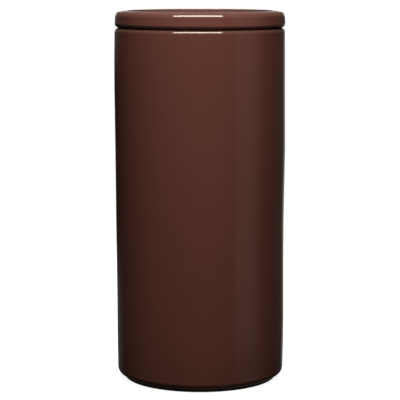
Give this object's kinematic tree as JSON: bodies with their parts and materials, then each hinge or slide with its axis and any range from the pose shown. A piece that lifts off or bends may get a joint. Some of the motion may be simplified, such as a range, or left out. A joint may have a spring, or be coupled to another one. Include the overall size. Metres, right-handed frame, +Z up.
{
  "type": "storage jar",
  "caption": "Tall straight glazed storage jar with a flush lift-off lid, a sunken lid top, a sealing ring and a short foot ring.",
  "frame": {"origin": "on the jar's axis, on the plane that the foot ring stands on", "axes": "+Z up along the jar's axis, from the foot ring to the lid; X and Y are any two level directions, as the jar is round"},
  "size_m": [0.101, 0.101, 0.2191],
  "materials": {
    "jar_glaze": "high gloss brown glaze over stoneware",
    "lid_glaze": "high gloss brown glaze over stoneware",
    "seal_silicone": "milky satin silicone"
  },
  "bodies": {
    "jar": {"jar_body": "jar_glaze"},
    "seal": {"lid_seal": "seal_silicone"},
    "lid": {"lid": "lid_glaze"}
  },
  "joints": [
    {"name": "lid_lift", "type": "slide", "parent": "jar", "child": "seal", "axis": [0, 0, 1], "range_m": [0, 0.12]},
    {"name": "lid_turn", "type": "hinge", "parent": "seal", "child": "lid", "pos_m": [0, 0, 0.2093], "axis": [0, 0, 1], "continuous": true}
  ]
}
